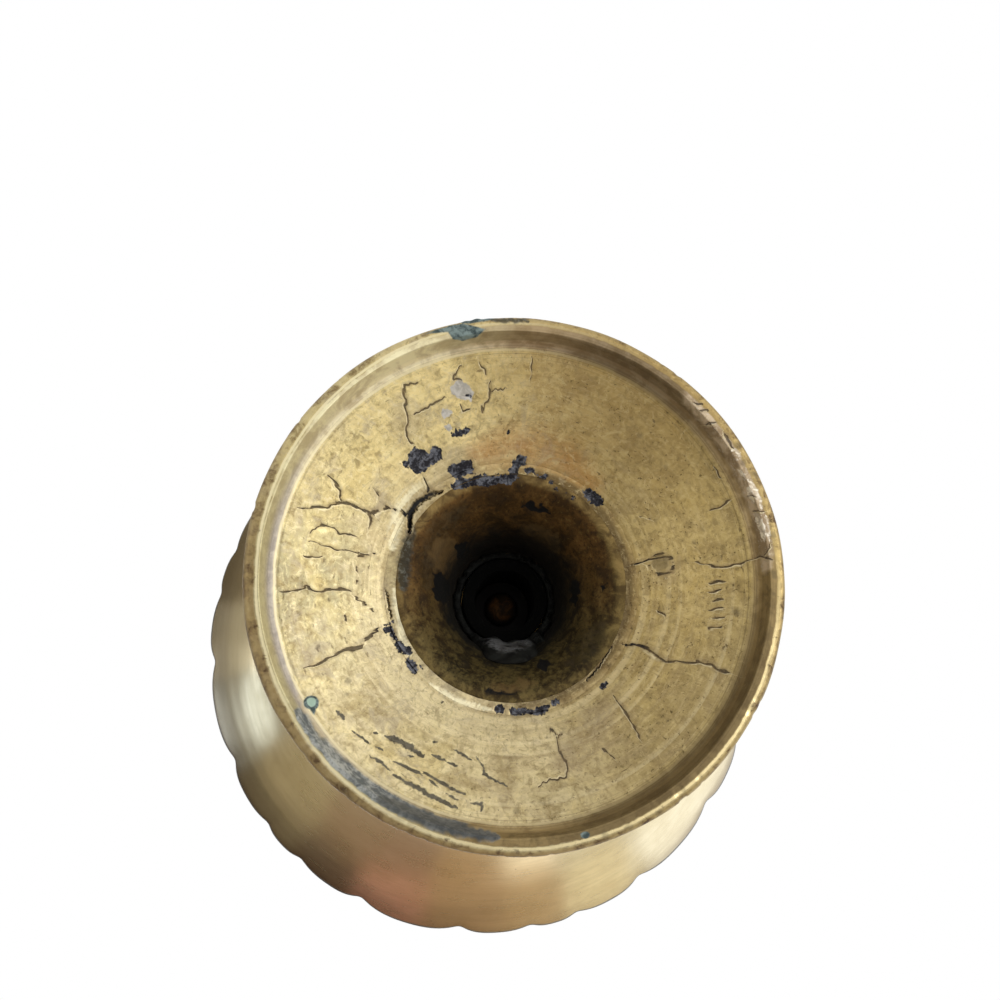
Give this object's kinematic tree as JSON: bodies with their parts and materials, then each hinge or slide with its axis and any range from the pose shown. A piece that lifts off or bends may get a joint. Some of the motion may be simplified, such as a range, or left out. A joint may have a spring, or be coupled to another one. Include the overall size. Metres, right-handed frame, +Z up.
{
  "type": "compote dish",
  "caption": "Footed brass compote dish: an open bowl with a scalloped rim on a turned stem and a flared, hollow foot, soldered and riveted together.",
  "frame": {"origin": "middle of the circle on which the foot stands", "axes": "+Z up along the dish's own axis, from the foot to the bowl; +X is 21.4 degrees before the middle of a wide lobe of the rim"},
  "size_m": [0.1402, 0.1396, 0.117],
  "materials": {
    "old_brass": "worn matt brass with a pale patina, dark chips and fine cracks",
    "dark_brass": "unpolished brass, browned",
    "satin_brass": "satin polished brass",
    "grey_solder": "dull grey lead-tin solder"
  },
  "bodies": {
    "root": {"foot_plate": "old_brass", "foot_seam_solder": "grey_solder", "stem_cone": "dark_brass", "stem_solder": "grey_solder", "stem": "old_brass", "rivet_washer": "dark_brass", "bowl_rivet": "dark_brass", "bowl_solder": "grey_solder", "bowl": "satin_brass"}
  },
  "joints": []
}
